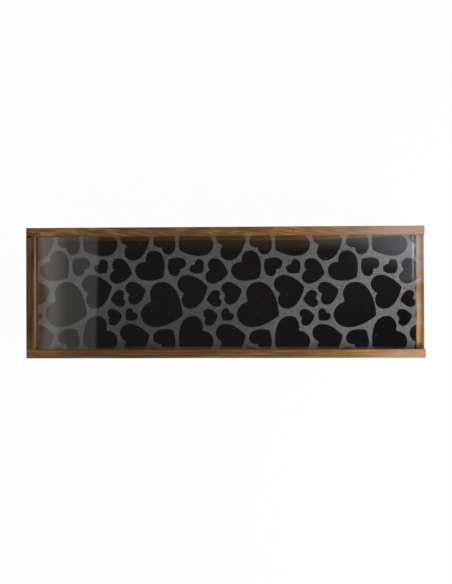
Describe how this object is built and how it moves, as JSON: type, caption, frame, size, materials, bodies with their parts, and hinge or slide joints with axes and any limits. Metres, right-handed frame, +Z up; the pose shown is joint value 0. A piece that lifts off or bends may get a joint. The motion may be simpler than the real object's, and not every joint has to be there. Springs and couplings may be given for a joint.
{
  "type": "wooden bottle box",
  "caption": "Long stained wooden box for a bottle, lying flat, with raised lips and a clear acrylic lid that slides out of grooves and is engraved with a pattern of hearts.",
  "frame": {"origin": "middle of the underside of the box", "axes": "+X along the box towards the open end, where the lid slides out; +Y across the box towards the rear side board; +Z up through the lid"},
  "size_m": [0.35, 0.115, 0.1],
  "materials": {
    "stained_pine": "dark walnut stain on pine, thin and matt",
    "stained_panel": "dark stain on thin panel, matt",
    "steel": "dull wire brad",
    "acrylic": "clear cast sheet, polished, engraved to a matt grey underneath"
  },
  "bodies": {
    "box": {"bottom_brad_closed_1": "steel", "bottom_brad_closed_2": "steel", "bottom_brad_front_1": "steel", "bottom_brad_front_2": "steel", "bottom_brad_front_3": "steel", "bottom_brad_front_4": "steel", "bottom_brad_front_5": "steel", "bottom_brad_open_1": "steel", "bottom_brad_open_2": "steel", "bottom_brad_rear_1": "steel", "bottom_brad_rear_2": "steel", "bottom_brad_rear_3": "steel", "bottom_brad_rear_4": "steel", "bottom_brad_rear_5": "steel", "bottom_panel": "stained_panel", "closed_end_board": "stained_pine", "corner_brad_front_closed_1": "steel", "corner_brad_front_closed_2": "steel", "corner_brad_front_closed_3": "steel", "corner_brad_front_open_1": "steel", "corner_brad_front_open_2": "steel", "corner_brad_front_open_3": "steel", "corner_brad_rear_closed_1": "steel", "corner_brad_rear_closed_2": "steel", "corner_brad_rear_closed_3": "steel", "corner_brad_rear_open_1": "steel", "corner_brad_rear_open_2": "steel", "corner_brad_rear_open_3": "steel", "front_side_board": "stained_pine", "open_end_board": "stained_pine", "rear_side_board": "stained_pine"},
    "lid": {"sliding_lid": "acrylic"}
  },
  "joints": [
    {"name": "lid_slide", "type": "slide", "parent": "box", "child": "lid", "axis": [1, 0, 0], "range_m": [0, 0.346]}
  ]
}
